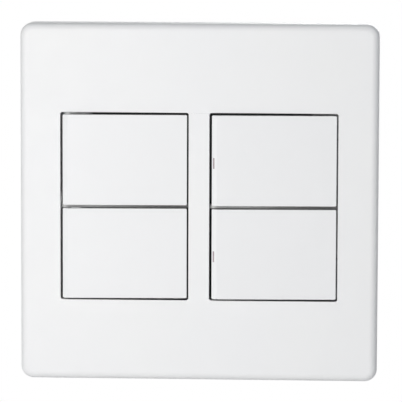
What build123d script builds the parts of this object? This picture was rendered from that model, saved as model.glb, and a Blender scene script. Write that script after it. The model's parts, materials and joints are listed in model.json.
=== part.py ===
"""Four-gang light switch on a square wall plate.

Millimetres. X to the right, +Y into the wall, +Z up. The front faces -Y. The origin is the centre
of the two fixing slots, in the plane of the wall.
"""

import os
from math import cos, radians, sin

from build123d import *

# Wall plate
plate_size = 86.0
plate_depth = 8.0
plate_face = 2.0
plate_wall = 2.0
plate_corner = 3.0
plate_edge = 1.8
window_width = 30.8
window_height = 45.2
window_bar = 5.0
window_drop = 0.9
window_corner = 0.5
collar_wall = 1.2
collar_depth = 2.0
divider_thickness = 1.0
divider_recess = 1.6

# Rocker keys
key_gap = 0.5
key_seam = 0.8
key_tilt = 2.5
key_proud = 0.2
key_face = 1.6
key_skirt = 1.1
key_skirt_depth = 5.1
key_overhang = 0.5
key_corner = 0.2
key_bevel_width = 1.2
key_bevel_depth = 0.6
key_rib = 0.9
key_rib_spacing = 14.0
key_rib_depth = 0.4
key_leg = 1.2
key_leg_width = 8.0
key_nose = 0.6
key_nose_depth = 0.8
mark_length = 2.5
mark_width = 0.32
mark_depth = 0.3
mark_drop = 0.6
mark_inset = 0.45

# Dolly that carries a key, on two trunnions
pivot_behind_face = 3.4
trunnion_radius = 1.2
trunnion_end = 0.4
trunnion_key_gap = 0.325
dolly_width = 9.2
dolly_behind_pivot = 0.4
stem_side_wall = 1.0
stem_end_wall = 1.2
stem_length = 7.2
stem_corner = 0.8

# Sprung plunger in the dolly's stem
plunger_width = 2.8
plunger_length = 6.2
plunger_reach = 10.5
plunger_nose = 1.0
plunger_wall = 0.45
plunger_hole_depth = 3.4
plunger_bore_depth = 5.6
spring_radius = 0.65
spring_wire = 0.3
spring_turns = 4
spring_sides = 7
spring_end = 0.25

# See-saw contact blade on the fulcrum of the common terminal
blade_tilt = 6.0
blade_length = 14.6
blade_width = 5.0
blade_thickness = 0.9
blade_front = 1.0
blade_corner = 1.0
fulcrum_radius = 0.5
fulcrum_length = 4.4
contact_spread = 6.0
contact_length = 2.2
contact_width = 2.4
moving_contact = 0.4

# Push-in terminals
strip_width = 2.8
strip_thickness = 1.0
strip_below_fulcrum = 1.7
strip_inner_reach = 2.5
clamp_width = 4.4
clamp_height = 5.2
clamp_depth = 6.0
clamp_reach = 11.7
clamp_wall = 0.9
leaf_thickness = 0.3
leaf_side_gap = 0.2
leaf_base = 4.8
leaf_reach = 3.9
leaf_tip_gap = 0.3

# Cover of the mechanism
cover_front = 2.7
cover_side_lap = 2.5
cover_end_gap = 2.6
cover_corner = 3.0
cover_rim = 1.5
cover_rim_depth = 1.0
post_width = 6.0
post_thickness = 2.0
post_above_pivot = 0.7
post_snap_width = 1.9

# Pressed steel frame behind the plate
frame_side_gap = 3.0
frame_end_gap = 7.0
frame_thickness = 1.2
frame_corner = 3.0
frame_opening_corner = 1.5
flange_length = 56.0
flange_height = 5.0
fixing_spacing = 60.3
fixing_radius = 2.1
fixing_slot = 5.4

# Housing behind the frame
housing_depth = 16.0
housing_wall = 1.5
housing_corner = 2.0
housing_rear_edge = 0.8
chamber_inner_width = 8.5
chamber_inner_reach = 3.6
chamber_end_gap = 0.525
recess_side_wall = 4.5
wire_entry = 3.4
barrier = 0.8
lug_notch_height = 11.5
lug_reach = 4.65
core_depth = 4.6
core_rib = 1.2
core_columns = 6
core_rows = 4
boss_width = 6.0
boss_depth = 9.0

# Screws that join cover, frame and housing
assembly_screw_radius = 1.25
assembly_screw_reach = 5.5
assembly_head_radius = 2.3
assembly_head = 1.5
assembly_screw_edge = 2.8
screw_behind_opening = 3.5
screw_slot_width = 0.7
screw_slot_depth = 0.7

# Snap hooks of the plate and their catches in the frame
hook_spread = 40.0
hook_width = 8.0
hook_thickness = 1.2
hook_nose = 1.1
hook_nose_top = 2.6
hook_nose_bottom = 3.7
hook_tip = 1.6

# Clearances
running = 0.05
loose = 0.3
part_gap = 0.4

# Sizes and places that follow
window_pitch = window_width + window_bar
key_width = window_width - 2 * key_gap
key_height = (window_height - 2 * key_gap - key_seam) / 2
key_pitch = key_height + key_seam
face_y = -plate_depth - key_proud - key_width / 2 * sin(radians(key_tilt))
pivot_y = face_y + pivot_behind_face
fulcrum_y = pivot_y + plunger_reach + running + blade_front
strip_y = fulcrum_y + strip_below_fulcrum
floor_y = strip_y + strip_thickness
clamp_end_y = strip_y + clamp_depth
key_inner_height = key_height - 2 * (key_overhang + key_skirt)
trunnion_length = key_inner_height - 2 * trunnion_key_gap
dolly_height = trunnion_length - 2 * (part_gap + post_thickness + trunnion_end)
stem_width = plunger_width + 2 * stem_side_wall
stem_height = plunger_width + 2 * stem_end_wall
clamp_z = clamp_reach - clamp_height / 2
cage_width = clamp_width - 2 * clamp_wall
cage_height = clamp_height - 2 * clamp_wall
blade_rear = blade_front - blade_thickness
contact_lowest = (contact_spread + contact_length / 2) * sin(radians(blade_tilt)) + (
    moving_contact - blade_rear
) * cos(radians(blade_tilt))
contact_y = fulcrum_y + contact_lowest + running
chamber_outer_width = contact_spread + clamp_width / 2 + part_gap
chamber_outer_reach = clamp_reach + chamber_end_gap
housing_width = window_pitch + 2 * (chamber_outer_width + housing_wall)
housing_height = key_pitch + 2 * (chamber_outer_reach + housing_wall)
lug_notch_depth = housing_width / 2 - fixing_spacing / 2 + lug_reach
frame_width = plate_size - 2 * (plate_wall + frame_side_gap)
frame_height = plate_size - 2 * (plate_wall + frame_end_gap)
cover_height = frame_height - 2 * (frame_thickness + window_drop + cover_end_gap)
assembly_spread = cover_height - 2 * assembly_screw_edge
frame_opening_width = housing_width - 2 * recess_side_wall
frame_opening_height = assembly_spread - 2 * screw_behind_opening
cover_width = frame_opening_width + 2 * cover_side_lap


def facing(y, frame=Plane.XY):
    """Plane at depth y that faces the front, in the axes of a frame."""
    return Plane(frame.location * Plane.XZ.offset(-y).location)


def level(z, frame=Plane.XY):
    """Horizontal plane at height z, in the axes of a frame."""
    return Plane(frame.location * Plane.XY.offset(z).location)


class Gang:
    """One switch of the four: its name, its place and the frames of its moving parts."""

    def __init__(self, name, side, row):
        x = side * window_pitch / 2
        z = -window_drop + row * key_pitch / 2
        self.name = name
        self.side = side
        self.row = row
        self.still = Plane(origin=(x, 0, z))
        self.rocker = Plane(origin=(x, pivot_y, z), x_dir=turned(key_tilt), z_dir=(0, 0, 1))
        self.see_saw = Plane(origin=(x, fulcrum_y, z), x_dir=turned(-blade_tilt), z_dir=(0, 0, 1))


def turned(angle):
    """Direction of X after a turn about Z."""
    return (cos(radians(angle)), sin(radians(angle)), 0)


gangs = [
    Gang("upper_left", -1, 1),
    Gang("upper_right", 1, 1),
    Gang("lower_left", -1, -1),
    Gang("lower_right", 1, -1),
]


def save(piece, name):
    """Name a finished piece and write it out."""
    piece.part.label = name
    export_step(piece.part, f"parts/{name}.step")


def hook_corners(side):
    """Corners of a snap hook's section, side 1 at the top of the plate and -1 at the bottom."""
    inner = frame_height / 2 + loose
    outer = inner + hook_thickness
    root = -plate_depth + plate_face - loose
    return [
        (root, side * outer),
        (-hook_tip, side * outer),
        (-hook_nose_top, side * (inner - hook_nose)),
        (-hook_nose_bottom, side * (inner - hook_nose)),
        (-hook_nose_bottom, side * inner),
        (root, side * inner),
    ]


def make_front_plate():
    """Square plate with two windows, each with a collar and a sunk divider, and four snap hooks."""
    inside = plate_size - 2 * plate_wall
    inside_corner = plate_corner - plate_wall / 2
    window_centres = (window_pitch, 0, 2, 1)
    with BuildPart() as plate:
        with BuildSketch(facing(0)):
            RectangleRounded(plate_size, plate_size, plate_corner)
        extrude(amount=plate_depth)
        fillet(plate.edges().group_by(Axis.Y)[0], plate_edge)
        with BuildSketch(facing(0)):
            hollow = Rectangle(inside, inside)
            chamfer(hollow.vertices(), inside_corner)
        extrude(amount=plate_depth - plate_face, mode=Mode.SUBTRACT)
        with BuildSketch(facing(plate_face - plate_depth)):
            with Locations((0, -window_drop)):
                with GridLocations(*window_centres):
                    Rectangle(window_width + 2 * collar_wall, window_height + 2 * collar_wall)
        extrude(amount=-collar_depth)
        with BuildSketch(facing(0)):
            with Locations((0, -window_drop)):
                with GridLocations(*window_centres):
                    RectangleRounded(window_width, window_height, window_corner)
        extrude(amount=plate_depth, mode=Mode.SUBTRACT)
        with BuildSketch(facing(divider_recess - plate_depth)):
            with Locations((0, -window_drop)):
                with GridLocations(*window_centres):
                    Rectangle(window_width, divider_thickness)
        extrude(amount=divider_recess - plate_face - collar_depth)
        for x in (-hook_spread / 2, hook_spread / 2):
            for side in (1, -1):
                with BuildSketch(Plane.YZ.offset(x)):
                    Polygon(*hook_corners(side), align=None)
                extrude(amount=hook_width / 2, both=True)
    save(plate, "front_plate")


def make_support_frame():
    """Pressed frame with fixing slots, catches for the plate and an opening for the mechanism."""
    catch_y = -(hook_nose_top + hook_nose_bottom) / 2
    catch_height = hook_nose_bottom - hook_nose_top + 2 * part_gap
    with BuildPart() as support:
        with BuildSketch(facing(0)):
            outline = Rectangle(frame_width, frame_height)
            chamfer(outline.vertices(), frame_corner)
        extrude(amount=frame_thickness)
        with BuildSketch(facing(0)):
            with GridLocations(0, frame_height - frame_thickness, 1, 2):
                Rectangle(flange_length, frame_thickness)
        extrude(amount=flange_height)
        with BuildSketch(Plane.XY):
            with Locations((0, catch_y)):
                with GridLocations(hook_spread, 0, 2, 1):
                    Rectangle(hook_width + 2 * loose, catch_height)
        extrude(amount=frame_height, both=True, mode=Mode.SUBTRACT)
        with BuildSketch(facing(0)):
            with Locations((0, -window_drop)):
                opening = Rectangle(frame_opening_width, frame_opening_height)
                chamfer(opening.vertices(), frame_opening_corner)
            with GridLocations(fixing_spacing, 0, 2, 1):
                SlotOverall(fixing_slot, 2 * fixing_radius)
            with Locations((0, -window_drop)):
                with GridLocations(0, assembly_spread, 1, 2):
                    Circle(assembly_screw_radius + loose)
        extrude(amount=frame_thickness, mode=Mode.SUBTRACT)
    save(support, "support_frame")


def post_profile():
    """Section of a bearing post: an upright with an open snap bearing for a trunnion."""
    with Locations((0, (-cover_front + pivot_y - post_above_pivot) / 2)):
        Rectangle(post_width, post_above_pivot - pivot_y - cover_front)
    with Locations((0, pivot_y)):
        Circle(trunnion_radius + running, mode=Mode.SUBTRACT)
    with Locations((0, pivot_y - trunnion_radius)):
        Rectangle(post_snap_width, 2 * trunnion_radius, mode=Mode.SUBTRACT)


def make_mechanism_cover():
    """Cover over the chambers, with a locating rim behind it and the bearings of the dollies."""
    reach = dolly_height / 2 + part_gap
    slot_width = stem_width + 2 * (loose + part_gap)
    slot_height = stem_height + 2 * loose
    with BuildPart() as cover:
        with BuildSketch(facing(-frame_thickness)):
            with Locations((0, -window_drop)):
                flange = Rectangle(cover_width, cover_height)
                chamfer(flange.vertices(), cover_corner)
        extrude(amount=cover_front - frame_thickness)
        rim_width = frame_opening_width - 2 * loose
        rim_height = frame_opening_height - 2 * loose
        with BuildSketch(facing(-frame_thickness)):
            with Locations((0, -window_drop)):
                rim = Rectangle(rim_width, rim_height)
                chamfer(rim.vertices(), frame_opening_corner)
                Rectangle(rim_width - 2 * cover_rim, rim_height - 2 * cover_rim, mode=Mode.SUBTRACT)
        extrude(amount=-(frame_thickness + cover_rim_depth))
        for gang in gangs:
            with BuildSketch(facing(-frame_thickness, gang.still)):
                Rectangle(slot_width, slot_height)
            extrude(amount=cover_front, mode=Mode.SUBTRACT)
            for z in (reach, -reach - post_thickness):
                with BuildSketch(level(z, gang.still)):
                    post_profile()
                extrude(amount=post_thickness)
        with BuildSketch(facing(cover_rim_depth)):
            with Locations((0, -window_drop)):
                with GridLocations(0, assembly_spread, 1, 2):
                    Circle(assembly_screw_radius + loose)
        extrude(amount=cover_rim_depth + cover_front, mode=Mode.SUBTRACT)
    save(cover, "mechanism_cover")


def make_rear_housing():
    """Moulded housing: a chamber for each switch, barriers, wire entries and a ribbed rear."""
    chamber_width = chamber_inner_width + chamber_outer_width
    chamber_x = (chamber_outer_width - chamber_inner_width) / 2
    chamber_height = chamber_inner_reach + chamber_outer_reach
    chamber_z = (chamber_outer_reach - chamber_inner_reach) / 2
    cell_z = (clamp_reach - clamp_height - part_gap + chamber_outer_reach) / 2
    cell_height = chamber_outer_reach - (clamp_reach - clamp_height - part_gap)
    core_width = (housing_width - 2 * lug_notch_depth - core_rib) / core_columns
    core_height = (key_pitch + 2 * (clamp_reach - clamp_height) - core_rib) / core_rows
    with BuildPart() as housing:
        with BuildSketch(facing(0)):
            with Locations((0, -window_drop)):
                box = Rectangle(housing_width, housing_height)
                chamfer(box.vertices(), housing_corner)
            with GridLocations(housing_width - lug_notch_depth, 0, 2, 1):
                Rectangle(lug_notch_depth, lug_notch_height, mode=Mode.SUBTRACT)
        extrude(amount=-housing_depth)
        chamfer(housing.faces().sort_by(Axis.Y)[-1].edges(), housing_rear_edge)
        with BuildSketch(facing(0)):
            with Locations((0, -window_drop)):
                Rectangle(boss_width, assembly_spread + boss_width)
        extrude(amount=-boss_depth)
        with BuildSketch(facing(0)):
            with Locations((0, -window_drop)):
                with GridLocations(0, assembly_spread, 1, 2):
                    Circle(assembly_screw_radius + running)
        extrude(amount=-boss_depth + housing_wall, mode=Mode.SUBTRACT)
        with BuildSketch(facing(0)):
            with Locations((0, -window_drop)):
                Rectangle(frame_opening_width, frame_opening_height)
        extrude(amount=-cover_rim_depth - loose, mode=Mode.SUBTRACT)
        for gang in gangs:
            with BuildSketch(facing(0, gang.still)):
                with Locations((gang.side * chamber_x, gang.row * chamber_z)):
                    Rectangle(chamber_width, chamber_height)
            extrude(amount=-floor_y, mode=Mode.SUBTRACT)
            with BuildSketch(facing(floor_y, gang.still)):
                with Locations((0, gang.row * cell_z)):
                    with GridLocations(contact_spread, 0, 3, 1):
                        Rectangle(contact_spread - barrier, cell_height)
            extrude(amount=floor_y - clamp_end_y, mode=Mode.SUBTRACT)
            with BuildSketch(facing(clamp_end_y, gang.still)):
                with Locations((0, gang.row * clamp_z)):
                    with GridLocations(contact_spread, 0, 3, 1):
                        Rectangle(wire_entry, wire_entry)
            extrude(amount=clamp_end_y - housing_depth, mode=Mode.SUBTRACT)
        with BuildSketch(facing(housing_depth)):
            with Locations((0, -window_drop)):
                with GridLocations(core_width, core_height, core_columns, core_rows):
                    Rectangle(core_width - core_rib, core_height - core_rib)
        extrude(amount=core_depth, mode=Mode.SUBTRACT)
    save(housing, "rear_housing")


def make_assembly_screws():
    """Two slotted screws that hold cover, frame and housing together."""
    with BuildPart() as screws:
        with BuildSketch(facing(-cover_front)):
            with Locations((0, -window_drop)):
                with GridLocations(0, assembly_spread, 1, 2):
                    Circle(assembly_head_radius)
        extrude(amount=assembly_head)
        with BuildSketch(facing(-cover_front)):
            with Locations((0, -window_drop)):
                with GridLocations(0, assembly_spread, 1, 2):
                    Circle(assembly_screw_radius)
        extrude(amount=-cover_front - assembly_screw_reach)
        with BuildSketch(facing(-cover_front - assembly_head)):
            with Locations((0, -window_drop)):
                with GridLocations(0, assembly_spread, 1, 2):
                    Rectangle(2 * assembly_head_radius, screw_slot_width)
        extrude(amount=-screw_slot_depth, mode=Mode.SUBTRACT)
    save(screws, "assembly_screws")


def bevel_plane(gang):
    """Plane on the bevel of a key, at the place of its mark, facing out of it."""
    depth = key_bevel_depth * (1 - mark_inset / key_bevel_width)
    place = (-key_width / 2 + mark_inset, -pivot_behind_face + depth, -mark_drop)
    local = Plane(origin=place, x_dir=(0, 0, 1), z_dir=(-key_bevel_depth, -key_bevel_width, 0))
    return Plane(gang.rocker.location * local.location)


def key_leg_corners(side):
    """Corners of the section of a clip leg that snaps under the dolly's block."""
    inner = dolly_width / 2 + running
    outer = inner + key_leg
    root = -pivot_behind_face + key_face - loose
    step = dolly_behind_pivot + running
    tip = step + key_nose_depth
    return [
        (side * outer, root),
        (side * outer, tip),
        (side * inner, tip),
        (side * (inner - key_nose), step),
        (side * inner, step),
        (side * inner, root),
    ]


def make_key(gang):
    """Rocker key: a flat face with a bevel on its left edge, a skirt, ribs and two clip legs."""
    face = facing(-pivot_behind_face, gang.rocker)
    under = facing(-pivot_behind_face + key_face, gang.rocker)
    bevel_corners = [
        (-key_width / 2, -pivot_behind_face),
        (-key_width / 2 + key_bevel_width, -pivot_behind_face),
        (-key_width / 2, -pivot_behind_face + key_bevel_depth),
    ]
    rib_reach = dolly_height + 2 * part_gap + post_thickness
    skirt_width = key_width - 2 * key_overhang
    skirt_height = key_height - 2 * key_overhang
    inner_width = skirt_width - 2 * key_skirt
    with BuildPart() as key:
        with BuildSketch(face):
            outline = Rectangle(key_width, key_height)
            chamfer(outline.vertices(), key_corner)
        extrude(amount=-key_face)
        with BuildSketch(under):
            Rectangle(skirt_width, skirt_height)
            Rectangle(inner_width, key_inner_height, mode=Mode.SUBTRACT)
        extrude(amount=key_face - key_skirt_depth)
        with BuildSketch(level(-key_height / 2, gang.rocker)):
            Polygon(*bevel_corners, align=None)
        extrude(amount=key_height, mode=Mode.SUBTRACT)
        with BuildSketch(under):
            with GridLocations(key_rib_spacing, 0, 2, 1):
                Rectangle(key_rib, key_inner_height)
            with GridLocations(0, rib_reach, 1, 2):
                Rectangle(inner_width, key_rib)
        extrude(amount=-key_rib_depth)
        with BuildSketch(level(-key_leg_width / 2, gang.rocker)):
            for side in (1, -1):
                Polygon(*key_leg_corners(side), align=None)
        extrude(amount=key_leg_width)
        if gang.side > 0:
            with BuildSketch(bevel_plane(gang)):
                Rectangle(mark_length, mark_width)
            extrude(amount=-mark_depth, mode=Mode.SUBTRACT)
    save(key, f"key_{gang.name}")


def make_on_mark(gang):
    """Small tinted bar let into the bevel of a key on the right."""
    with BuildPart() as mark:
        with BuildSketch(bevel_plane(gang)):
            Rectangle(mark_length, mark_width)
        extrude(amount=-mark_depth)
    save(mark, f"on_mark_{gang.name}")


def make_dolly(gang):
    """Dolly: a block between two trunnions, with a stem bored for the plunger."""
    front = -pivot_behind_face + key_face
    bore_mouth = facing(stem_length, gang.rocker)
    with BuildPart() as dolly:
        with BuildSketch(facing(front, gang.rocker)):
            Rectangle(dolly_width, dolly_height)
        extrude(amount=front - dolly_behind_pivot)
        for end in (1, -1):
            with BuildSketch(level(end * dolly_height / 2, gang.rocker)):
                Circle(trunnion_radius)
            extrude(amount=end * (trunnion_length - dolly_height) / 2)
        with BuildSketch(facing(dolly_behind_pivot, gang.rocker)):
            stem = Rectangle(stem_width, stem_height)
            chamfer(stem.vertices(), stem_corner)
        extrude(amount=dolly_behind_pivot - stem_length)
        with BuildSketch(bore_mouth):
            Rectangle(plunger_width + 2 * running, plunger_width + 2 * running)
        extrude(amount=plunger_bore_depth, mode=Mode.SUBTRACT)
    save(dolly, f"dolly_{gang.name}")


def make_plunger(gang):
    """Square hollow plunger with a tapered nose, which slides in the stem."""
    tail = plunger_reach - plunger_length
    taper = (plunger_width - plunger_nose) / 2
    corners = [
        (-plunger_width / 2, tail),
        (plunger_width / 2, tail),
        (plunger_width / 2, plunger_reach - taper),
        (plunger_nose / 2, plunger_reach),
        (-plunger_nose / 2, plunger_reach),
        (-plunger_width / 2, plunger_reach - taper),
    ]
    with BuildPart() as plunger:
        with BuildSketch(gang.rocker):
            Polygon(*corners, align=None)
        extrude(amount=plunger_width / 2, both=True)
        with BuildSketch(facing(tail, gang.rocker)):
            Rectangle(plunger_width - 2 * plunger_wall, plunger_width - 2 * plunger_wall)
        extrude(amount=-plunger_hole_depth, mode=Mode.SUBTRACT)
    save(plunger, f"plunger_{gang.name}")


def coil_points(gang):
    """Points along the spring's wire, evenly spaced round its turns."""
    bottom = stem_length - plunger_bore_depth + spring_end
    top = plunger_reach - plunger_length + plunger_hole_depth - spring_end
    steps = spring_turns * spring_sides
    points = []
    for step in range(steps + 1):
        angle = radians(360 * step / spring_sides)
        along = bottom + (top - bottom) * step / steps
        local = Vector(spring_radius * cos(angle), along, spring_radius * sin(angle))
        points.append(gang.rocker.from_local_coords(local))
    return points


def make_plunger_spring(gang):
    """Compression spring of square wire between the bore's bottom and the plunger's hole."""
    points = coil_points(gang)
    with BuildPart() as spring:
        with BuildLine() as coil:
            Polyline(*points)
        with BuildSketch(Plane(origin=points[0], z_dir=coil.line % 0)):
            Rectangle(spring_wire, spring_wire)
        sweep(path=coil.line, transition=Transition.RIGHT)
    save(spring, f"plunger_spring_{gang.name}")


def make_contact_blade(gang):
    """Copper see-saw blade with a groove that rocks on the fulcrum."""
    with BuildPart() as blade:
        with BuildSketch(facing(-blade_front, gang.see_saw)):
            strip = Rectangle(blade_length, blade_width)
            chamfer(strip.vertices(), blade_corner)
        extrude(amount=-blade_thickness)
        with BuildSketch(level(-blade_width / 2, gang.see_saw)):
            Circle(fulcrum_radius + running)
        extrude(amount=blade_width, mode=Mode.SUBTRACT)
    save(blade, f"contact_blade_{gang.name}")


def make_moving_contacts(gang):
    """Two silver contact pads welded to the rear of the blade."""
    with BuildPart() as contacts:
        with BuildSketch(facing(-blade_rear, gang.see_saw)):
            with GridLocations(2 * contact_spread, 0, 2, 1):
                Rectangle(contact_length, contact_width)
        extrude(amount=-moving_contact)
    save(contacts, f"moving_contacts_{gang.name}")


def make_fixed_contacts(gang):
    """Two silver contact pads welded to the strips of the switched terminals."""
    with BuildPart() as contacts:
        with BuildSketch(facing(strip_y, gang.still)):
            with GridLocations(2 * contact_spread, 0, 2, 1):
                Rectangle(contact_length, contact_width)
        extrude(amount=strip_y - contact_y)
    save(contacts, f"fixed_contacts_{gang.name}")


def make_terminal(gang, name, x):
    """Strip and wire cage of a terminal. The common one, in the middle, has the round fulcrum."""
    inner = -strip_inner_reach
    strip_length = clamp_reach - inner
    with BuildPart() as terminal:
        with BuildSketch(facing(strip_y, gang.still)):
            with Locations((x, gang.row * (inner + strip_length / 2))):
                Rectangle(strip_width, strip_length)
        extrude(amount=-strip_thickness)
        with BuildSketch(facing(strip_y, gang.still)):
            with Locations((x, gang.row * clamp_z)):
                Rectangle(clamp_width, clamp_height)
                Rectangle(cage_width, cage_height, mode=Mode.SUBTRACT)
        extrude(amount=-clamp_depth)
        with BuildSketch(facing(strip_y, gang.still)):
            with Locations((x, gang.row * clamp_z)):
                Rectangle(cage_width, cage_height)
        extrude(amount=-strip_thickness, mode=Mode.SUBTRACT)
        if x == 0:
            with BuildSketch(level(-fulcrum_length / 2, gang.still)):
                with Locations((0, fulcrum_y)):
                    Circle(fulcrum_radius)
                with Locations((0, (fulcrum_y + strip_y) / 2)):
                    Rectangle(2 * fulcrum_radius, strip_y - fulcrum_y)
            extrude(amount=fulcrum_length)
    save(terminal, f"{name}_{gang.name}")


def leaf_corners(gang):
    """Corners of a clamp leaf's section: a base along the cage's outer wall and a folded tongue."""
    outer = clamp_z + cage_height / 2
    fold = clamp_end_y - leaf_side_gap
    tongue_z = clamp_z - cage_height / 2 + leaf_tip_gap
    tongue_y = fold - leaf_reach
    section = [
        (fold - leaf_base, outer),
        (fold, outer),
        (fold, outer - leaf_thickness),
        (tongue_y, tongue_z),
        (tongue_y - leaf_thickness, tongue_z + leaf_thickness),
        (fold - 2 * leaf_thickness, outer - leaf_thickness),
        (fold - leaf_base, outer - leaf_thickness),
    ]
    return [(y, gang.row * z) for y, z in section]


def make_clamp_leaves(gang):
    """Three folded leaf springs that grip the wires in the cages."""
    with BuildPart() as leaves:
        for x in (-contact_spread, 0, contact_spread):
            middle = gang.still.from_local_coords(Vector(x, 0, 0))
            with BuildSketch(Plane(origin=middle, x_dir=(0, 1, 0), z_dir=(1, 0, 0))):
                Polygon(*leaf_corners(gang), align=None)
            extrude(amount=cage_width / 2 - leaf_side_gap, both=True)
    save(leaves, f"clamp_leaves_{gang.name}")


os.makedirs("parts", exist_ok=True)
make_front_plate()
make_support_frame()
make_mechanism_cover()
make_rear_housing()
make_assembly_screws()
for gang in gangs:
    make_key(gang)
    if gang.side > 0:
        make_on_mark(gang)
    make_dolly(gang)
    make_plunger(gang)
    make_plunger_spring(gang)
    make_contact_blade(gang)
    make_moving_contacts(gang)
    make_fixed_contacts(gang)
    make_terminal(gang, "common_terminal", 0)
    make_terminal(gang, "way_one_terminal", -contact_spread)
    make_terminal(gang, "way_two_terminal", contact_spread)
    make_clamp_leaves(gang)
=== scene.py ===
"""Four-gang light switch: the finish of each piece, the studio light and the camera.

Metres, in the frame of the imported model: X to the right, +Y into the wall, +Z up.
"""

import json
from math import cos, radians, sin

import bpy
from mathutils import Matrix, Vector

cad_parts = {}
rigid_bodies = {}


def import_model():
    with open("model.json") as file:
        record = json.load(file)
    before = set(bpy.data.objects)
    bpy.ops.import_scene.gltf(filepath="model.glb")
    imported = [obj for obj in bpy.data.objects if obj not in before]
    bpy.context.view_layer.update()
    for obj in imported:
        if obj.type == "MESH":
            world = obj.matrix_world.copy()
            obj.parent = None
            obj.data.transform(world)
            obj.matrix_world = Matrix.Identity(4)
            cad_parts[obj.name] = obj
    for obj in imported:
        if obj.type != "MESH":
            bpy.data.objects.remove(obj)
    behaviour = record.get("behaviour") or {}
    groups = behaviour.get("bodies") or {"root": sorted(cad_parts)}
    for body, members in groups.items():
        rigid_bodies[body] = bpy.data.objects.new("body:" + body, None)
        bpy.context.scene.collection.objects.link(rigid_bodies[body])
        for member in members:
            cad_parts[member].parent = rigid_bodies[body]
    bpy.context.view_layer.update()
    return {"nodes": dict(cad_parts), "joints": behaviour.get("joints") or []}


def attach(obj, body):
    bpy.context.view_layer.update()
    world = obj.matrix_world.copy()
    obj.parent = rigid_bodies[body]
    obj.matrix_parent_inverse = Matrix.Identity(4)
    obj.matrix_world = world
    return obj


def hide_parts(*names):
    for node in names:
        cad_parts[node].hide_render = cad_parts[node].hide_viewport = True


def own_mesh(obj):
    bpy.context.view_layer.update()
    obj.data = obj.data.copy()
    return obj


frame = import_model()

MM = 0.001

# Painted shade in the narrow gaps: the share of its colour that a surface keeps deep in a gap,
# how wide a gap round the keys can be, how far the plate shades the steel behind it,
# and the rays that look for a gap
gap_shade_level = 0.02
key_gap_reach = 1.2 * MM
frame_shade_reach = 8.0 * MM
gap_shade_samples = 12

# Most values of a noise texture lie between these
noise_low = 0.3
noise_high = 0.7

# Camera: a long lens a little above and to the right of the plate
camera_azimuth = 2.94
camera_elevation = 6.28
camera_roll = 0.18
camera_distance = 700 * MM
camera_lens = 261.5
camera_sensor = 36.0
aim = Vector((0.52, -8.0, 0.56)) * MM

# Floor, and how far from under the switch its shadow shows
floor_height = -160 * MM
floor_size = 6.0
floor_paint = 0.85
floor_roughness = 0.8
shadow_reach = 180 * MM

# Ambient light: its strength in front and behind, and the Y of a direction
# up to which it is full and from which it is at its weakest
ambient_colour = (0.87, 0.93, 1.0, 1.0)
ambient_front = 0.61
ambient_back = 0.13
front_until = -0.9
back_from = -0.2

# Lamps: power in watts, place and size in metres
window_light_power = 1.08
window_light_place = (-0.13, -0.42, 0.05)
window_light_size = (0.20, 0.40)
window_light_colour = (1.0, 0.98, 0.955)
edge_light_power = 0.24
edge_light_place = (-0.505, -0.41, -0.03)
edge_light_size = (0.06, 0.50)
back_light_power = 7.0
back_light_place = (0.35, 1.10, 0.30)
back_light_size = (0.8, 0.8)


def grey(level):
    """Neutral colour of one linear level."""
    return (level, level, level, 1.0)


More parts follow.
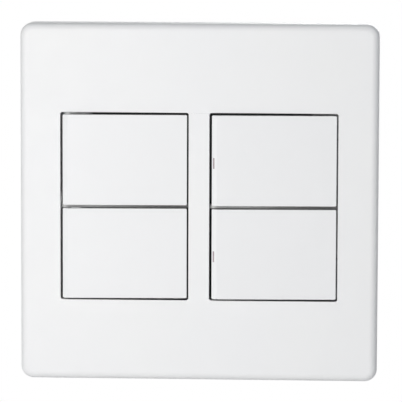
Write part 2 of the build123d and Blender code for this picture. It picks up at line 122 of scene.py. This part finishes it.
class Finish:
    """One procedural material, built up round its Principled shader."""

    def __init__(self, name, roughness, metallic=0.0):
        self.material = bpy.data.materials.new(name)
        self.material.use_nodes = True
        self.tree = self.material.node_tree
        self.shader = self.tree.nodes["Principled BSDF"]
        self.shader.inputs["Metallic"].default_value = metallic
        self.shader.inputs["Roughness"].default_value = roughness
        self.place = self.tree.nodes.new("ShaderNodeTexCoord").outputs["Object"]
        self.height = None

    def link(self, output, socket):
        self.tree.links.new(output, socket)

    def noise(self, scale, detail=2.0, stretch=(1.0, 1.0, 1.0)):
        """Noise with features of about 1 / scale metres, drawn out along an axis with a stretch under 1."""
        mapping = self.tree.nodes.new("ShaderNodeMapping")
        mapping.inputs["Scale"].default_value = stretch
        texture = self.tree.nodes.new("ShaderNodeTexNoise")
        texture.inputs["Scale"].default_value = scale
        texture.inputs["Detail"].default_value = detail
        self.link(self.place, mapping.inputs["Vector"])
        self.link(mapping.outputs["Vector"], texture.inputs["Vector"])
        return texture.outputs["Fac"]

    def spread(self, value, low, high, start=noise_low, end=noise_high):
        """A value between start and end spread over low to high."""
        node = self.tree.nodes.new("ShaderNodeMapRange")
        node.inputs["From Min"].default_value = start
        node.inputs["From Max"].default_value = end
        node.inputs["To Min"].default_value = low
        node.inputs["To Max"].default_value = high
        self.link(value, node.inputs["Value"])
        return node.outputs["Result"]

    def colour(self, value, first, second, gap_depth=0.0, fully_shaded=0.35, unshaded=0.85):
        """Base colour that runs from one colour to another with a value, darkened by painted shade in
        narrow gaps.
        """
        ramp = self.tree.nodes.new("ShaderNodeValToRGB")
        start, end = ramp.color_ramp.elements
        start.position = noise_low
        start.color = (*first, 1.0)
        end.position = noise_high
        end.color = (*second, 1.0)
        self.link(value, ramp.inputs["Fac"])
        colour = ramp.outputs["Color"]
        if gap_depth:
            colour = self.painted_gap_shade(colour, gap_depth, fully_shaded, unshaded)
        self.link(colour, self.shader.inputs["Base Color"])

    def painted_gap_shade(self, colour, depth, fully_shaded, unshaded):
        """Painted shade: colour that darkens as the open share of the sky falls from the unshaded level to
        the fully shaded one.
        """
        hollow = self.tree.nodes.new("ShaderNodeAmbientOcclusion")
        hollow.samples = gap_shade_samples
        hollow.inputs["Distance"].default_value = depth
        # Painted shade: the base colour is darkened where ambient occlusion finds a narrow gap
        shade_factor = self.spread(hollow.outputs["AO"], gap_shade_level, 1.0, fully_shaded, unshaded)
        mix = self.tree.nodes.new("ShaderNodeMix")
        mix.data_type = "RGBA"
        mix.blend_type = "MULTIPLY"
        # A mix node has a set of sockets for each kind of data: these are the ones for colours
        factor, first, second = mix.inputs[0], mix.inputs[6], mix.inputs[7]
        factor.default_value = 1.0
        self.link(colour, first)
        self.link(shade_factor, second)
        return mix.outputs[2]

    def roughness(self, value, low, high):
        self.link(self.spread(value, low, high), self.shader.inputs["Roughness"])

    def bump(self, value, height):
        """Relief of a real height in metres, added to what is there."""
        node = self.tree.nodes.new("ShaderNodeBump")
        node.inputs["Distance"].default_value = height
        self.link(value, node.inputs["Height"])
        if self.height is not None:
            self.link(self.height, node.inputs["Normal"])
        self.height = node.outputs["Normal"]
        self.link(self.height, self.shader.inputs["Normal"])


def plate_plastic():
    """Satin white moulded plastic with a fine spark-eroded grain."""
    finish = Finish("plate_plastic", 0.45)
    level = 0.875
    cool = (level, level * 0.998, level * 1.004)
    warm = (level * 1.012, level * 1.008, level)
    # Painted shade darkens this colour in the narrow gaps round the keys
    finish.colour(finish.noise(28.0, 3.0), cool, warm, key_gap_reach)
    finish.roughness(finish.noise(240.0, 3.0), 0.40, 0.50)
    finish.bump(finish.noise(2600.0, 2.0), 0.004 * MM)
    finish.bump(finish.noise(60.0, 1.0), 0.010 * MM)
    return finish.material


def key_plastic():
    """The same white plastic, a little smoother where fingers touch it."""
    finish = Finish("key_plastic", 0.36)
    cool = (0.880, 0.877, 0.880)
    warm = (0.887, 0.884, 0.885)
    # Painted shade darkens this colour in the narrow gaps round the keys
    finish.colour(finish.noise(36.0, 3.0), cool, warm, key_gap_reach, fully_shaded=0.45, unshaded=0.92)
    finish.roughness(finish.noise(180.0, 3.0), 0.33, 0.39)
    finish.bump(finish.noise(2600.0, 2.0), 0.002 * MM)
    finish.bump(finish.noise(45.0, 1.0), 0.004 * MM)
    return finish.material


def mark_ink():
    """Faint reddish grey paint in the groove of a mark."""
    finish = Finish("mark_ink", 0.6)
    finish.colour(finish.noise(1800.0, 4.0), (0.36, 0.27, 0.29), (0.50, 0.40, 0.42))
    finish.bump(finish.noise(5000.0, 2.0), 0.006 * MM)
    return finish.material


def moulded(name, low, high, roughness, grain):
    """Plain technical plastic of an inner part."""
    finish = Finish(name, roughness)
    finish.colour(finish.noise(70.0, 4.0), low, high)
    finish.roughness(finish.noise(400.0, 3.0), roughness - 0.06, roughness + 0.06)
    finish.bump(finish.noise(grain, 3.0), 0.008 * MM)
    return finish.material


def rolled_metal(name, low, high, roughness, stretch=(1.0, 1.0, 0.06), gap_depth=0.0):
    """Metal strip with fine rolling marks along one axis and a mottled surface."""
    finish = Finish(name, roughness, metallic=1.0)
    # With a gap depth, painted shade darkens the colour where the metal lies deep behind other parts
    finish.colour(finish.noise(260.0, 5.0), low, high, gap_depth, fully_shaded=0.20, unshaded=0.45)
    finish.roughness(finish.noise(3000.0, 3.0, stretch), roughness - 0.08, roughness + 0.10)
    finish.bump(finish.noise(5200.0, 2.0, stretch), 0.003 * MM)
    return finish.material


def make_materials():
    """The finishes by the name of the record's material slot."""
    return {
        "plate_plastic": plate_plastic(),
        "key_plastic": key_plastic(),
        "mark_ink": mark_ink(),
        "mechanism_plastic": moulded(
            "mechanism_plastic", (0.020, 0.021, 0.023), (0.032, 0.033, 0.035), 0.50, 1800.0
        ),
        "dolly_plastic": moulded(
            "dolly_plastic", (0.62, 0.62, 0.60), (0.70, 0.70, 0.68), 0.42, 2200.0
        ),
        "plunger_plastic": moulded(
            "plunger_plastic", (0.66, 0.62, 0.52), (0.74, 0.70, 0.60), 0.34, 2600.0
        ),
        "housing_plastic": moulded(
            "housing_plastic", (0.66, 0.66, 0.64), (0.73, 0.73, 0.71), 0.55, 1500.0
        ),
        "zinc_plated_steel": rolled_metal(
            "zinc_plated_steel",
            (0.60, 0.62, 0.64),
            (0.74, 0.75, 0.76),
            0.34,
            (0.06, 1.0, 1.0),
            # Painted shade on the steel frame where the plate lies over it
            gap_depth=frame_shade_reach,
        ),
        "screw_steel": rolled_metal(
            "screw_steel", (0.55, 0.56, 0.56), (0.70, 0.70, 0.69), 0.28, (1.0, 1.0, 1.0)
        ),
        "leaf_steel": rolled_metal("leaf_steel", (0.50, 0.51, 0.52), (0.62, 0.63, 0.64), 0.24),
        "spring_steel": rolled_metal(
            "spring_steel", (0.42, 0.42, 0.43), (0.55, 0.55, 0.56), 0.26, (1.0, 1.0, 1.0)
        ),
        "blade_copper": rolled_metal("blade_copper", (0.74, 0.38, 0.24), (0.88, 0.52, 0.36), 0.28),
        "contact_silver": rolled_metal(
            "contact_silver", (0.80, 0.79, 0.76), (0.92, 0.91, 0.89), 0.22, (1.0, 1.0, 1.0)
        ),
        "terminal_brass": rolled_metal(
            "terminal_brass", (0.70, 0.52, 0.24), (0.84, 0.66, 0.36), 0.27
        ),
    }


# Finish of each node by the start of its name
finish_of = {
    "front_plate": "plate_plastic",
    "key": "key_plastic",
    "on_mark": "mark_ink",
    "mechanism_cover": "mechanism_plastic",
    "dolly": "dolly_plastic",
    "plunger_spring": "spring_steel",
    "plunger": "plunger_plastic",
    "rear_housing": "housing_plastic",
    "support_frame": "zinc_plated_steel",
    "assembly_screws": "screw_steel",
    "clamp_leaves": "leaf_steel",
    "contact_blade": "blade_copper",
    "moving_contacts": "contact_silver",
    "fixed_contacts": "contact_silver",
    "common_terminal": "terminal_brass",
    "way_one_terminal": "terminal_brass",
    "way_two_terminal": "terminal_brass",
}

# Vertices nearer than this become one, so that the edges between faces can be broken
weld_distance = 0.001 * MM

# Edges that turn by more than this are broken
sharp_angle = radians(40)

# Width in millimetres of the broken edges of a node, by the start of its name
edge_break = {
    "front_plate": 0.05,
    "key": 0.08,
    "mechanism_cover": 0.10,
    "rear_housing": 0.15,
    "assembly_screws": 0.15,
    "dolly": 0.10,
}


def first_match(node_name, choices):
    """The entry whose key starts the node's name, or nothing."""
    for start, value in choices.items():
        if node_name.startswith(start):
            return value
    return None


def dress(node_name, piece, materials):
    """Give a node its finish and its broken edges."""
    material = materials[first_match(node_name, finish_of)]
    piece.data.materials.clear()
    piece.data.materials.append(material)
    width = first_match(node_name, edge_break)
    if width:
        weld = piece.modifiers.new("joined_faces", "WELD")
        weld.merge_threshold = weld_distance
        bevel = piece.modifiers.new("broken_edges", "BEVEL")
        bevel.width = width * MM
        bevel.segments = 2
        bevel.limit_method = "ANGLE"
        bevel.angle_limit = sharp_angle
        bevel.harden_normals = True


def spring_that_shortens(slide):
    """A copy of a plunger's spring with a mesh of its own, hung on the slide's parent in place of the node;
    the real spring shortens to its fixed end as the plunger slides in.
    """
    node_name = slide["deforming_nodes"][0]["node"]
    node = frame["nodes"][node_name]
    spring = bpy.data.objects.new(f"{node_name}_shown", node.data.copy())
    bpy.context.scene.collection.objects.link(spring)
    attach(spring, slide["parent"])
    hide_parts(node_name)
    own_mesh(spring)


def make_camera():
    """Camera at the height and side from which the plate was seen."""
    azimuth = radians(camera_azimuth)
    elevation = radians(camera_elevation)
    back = Vector(
        (sin(azimuth) * cos(elevation), -cos(azimuth) * cos(elevation), sin(elevation))
    )
    data = bpy.data.cameras.new("camera")
    data.lens = camera_lens
    data.sensor_width = camera_sensor
    data.clip_start = 0.01
    data.clip_end = 50.0
    camera = bpy.data.objects.new("camera", data)
    turn = (-back).to_track_quat("-Z", "Y").to_matrix().to_4x4()
    roll = Matrix.Rotation(radians(camera_roll), 4, "Z")
    camera.matrix_world = Matrix.Translation(aim + back * camera_distance) @ turn @ roll
    bpy.context.scene.collection.objects.link(camera)
    bpy.context.scene.camera = camera


def add_light(name, place, power, size, colour=(1.0, 1.0, 1.0)):
    """Soft box that faces the middle of the switch and isn't seen itself."""
    data = bpy.data.lights.new(name, "AREA")
    data.shape = "RECTANGLE"
    data.size, data.size_y = size
    data.energy = power
    data.color = colour
    light = bpy.data.objects.new(name, data)
    light.location = place
    light.rotation_mode = "QUATERNION"
    light.rotation_quaternion = (-Vector(place)).to_track_quat("-Z", "Y")
    light.visible_camera = False
    bpy.context.scene.collection.objects.link(light)


def make_lights():
    """A window light in front on the left, a strip for the bevels and a soft light behind."""
    add_light(
        "window_light",
        window_light_place,
        window_light_power,
        window_light_size,
        window_light_colour,
    )
    add_light("edge_light", edge_light_place, edge_light_power, edge_light_size)
    add_light("back_light", back_light_place, back_light_power, back_light_size)


def make_world():
    """White where it is seen or mirrored, and a dimmer cool ambient light elsewhere."""
    world = bpy.data.worlds.new("studio")
    bpy.context.scene.world = world
    world.use_nodes = True
    nodes = world.node_tree.nodes
    links = world.node_tree.links
    ambient = nodes["Background"]
    ambient.inputs["Color"].default_value = ambient_colour
    direction = nodes.new("ShaderNodeTexCoord")
    axes = nodes.new("ShaderNodeSeparateXYZ")
    links.new(direction.outputs["Generated"], axes.inputs[0])
    strength = nodes.new("ShaderNodeMapRange")
    strength.inputs["From Min"].default_value = front_until
    strength.inputs["From Max"].default_value = back_from
    strength.inputs["To Min"].default_value = ambient_front
    strength.inputs["To Max"].default_value = ambient_back
    links.new(axes.outputs["Y"], strength.inputs["Value"])
    links.new(strength.outputs["Result"], ambient.inputs["Strength"])
    white = nodes.new("ShaderNodeBackground")
    white.inputs["Color"].default_value = grey(1.0)
    seen = seen_factor(nodes, links)
    mix = nodes.new("ShaderNodeMixShader")
    links.new(seen, mix.inputs["Fac"])
    links.new(ambient.outputs[0], mix.inputs[1])
    links.new(white.outputs[0], mix.inputs[2])
    links.new(mix.outputs[0], nodes["World Output"].inputs["Surface"])


def seen_factor(nodes, links):
    """1 for camera, glossy and transmission rays, else 0."""
    path = nodes.new("ShaderNodeLightPath")
    total = path.outputs["Is Camera Ray"]
    for name in ("Is Glossy Ray", "Is Transmission Ray"):
        add = nodes.new("ShaderNodeMath")
        add.operation = "ADD"
        add.use_clamp = True
        links.new(total, add.inputs[0])
        links.new(path.outputs[name], add.inputs[1])
        total = add.outputs[0]
    return total


def make_floor():
    """Pale floor well below the switch, which shows its soft shadow and fades to white."""
    mesh = bpy.data.meshes.new("floor")
    half = floor_size / 2
    corners = [(-half, -half, floor_height), (half, -half, floor_height)]
    corners += [(half, half, floor_height), (-half, half, floor_height)]
    mesh.from_pydata(corners, [], [(0, 1, 2, 3)])
    floor = bpy.data.objects.new("floor", mesh)
    bpy.context.scene.collection.objects.link(floor)
    material = bpy.data.materials.new("floor")
    material.use_nodes = True
    nodes = material.node_tree.nodes
    links = material.node_tree.links
    paint = nodes["Principled BSDF"]
    paint.inputs["Base Color"].default_value = grey(floor_paint)
    paint.inputs["Roughness"].default_value = floor_roughness
    glow = nodes.new("ShaderNodeEmission")
    glow.inputs["Color"].default_value = grey(1.0)
    place = nodes.new("ShaderNodeTexCoord")
    distance = nodes.new("ShaderNodeVectorMath")
    distance.operation = "LENGTH"
    flat = nodes.new("ShaderNodeVectorMath")
    flat.operation = "MULTIPLY"
    flat.inputs[1].default_value = (1.0, 1.0, 0.0)
    links.new(place.outputs["Object"], flat.inputs[0])
    links.new(flat.outputs[0], distance.inputs[0])
    fade = nodes.new("ShaderNodeMapRange")
    fade.interpolation_type = "SMOOTHSTEP"
    fade.inputs["From Min"].default_value = 0.0
    fade.inputs["From Max"].default_value = shadow_reach
    links.new(distance.outputs["Value"], fade.inputs["Value"])
    seen = seen_factor(nodes, links)
    factor = nodes.new("ShaderNodeMath")
    factor.operation = "MULTIPLY"
    links.new(seen, factor.inputs[0])
    links.new(fade.outputs["Result"], factor.inputs[1])
    mix = nodes.new("ShaderNodeMixShader")
    links.new(factor.outputs[0], mix.inputs["Fac"])
    links.new(paint.outputs[0], mix.inputs[1])
    links.new(glow.outputs[0], mix.inputs[2])
    links.new(mix.outputs[0], nodes["Material Output"].inputs["Surface"])
    mesh.materials.append(material)


materials = make_materials()
for node_name, piece in frame["nodes"].items():
    dress(node_name, piece, materials)
for joint in frame["joints"]:
    if joint.get("deforming_nodes"):
        spring_that_shortens(joint)
make_camera()
make_lights()
make_world()
make_floor()
bpy.context.scene.view_settings.view_transform = "Standard"
bpy.context.view_layer.update()
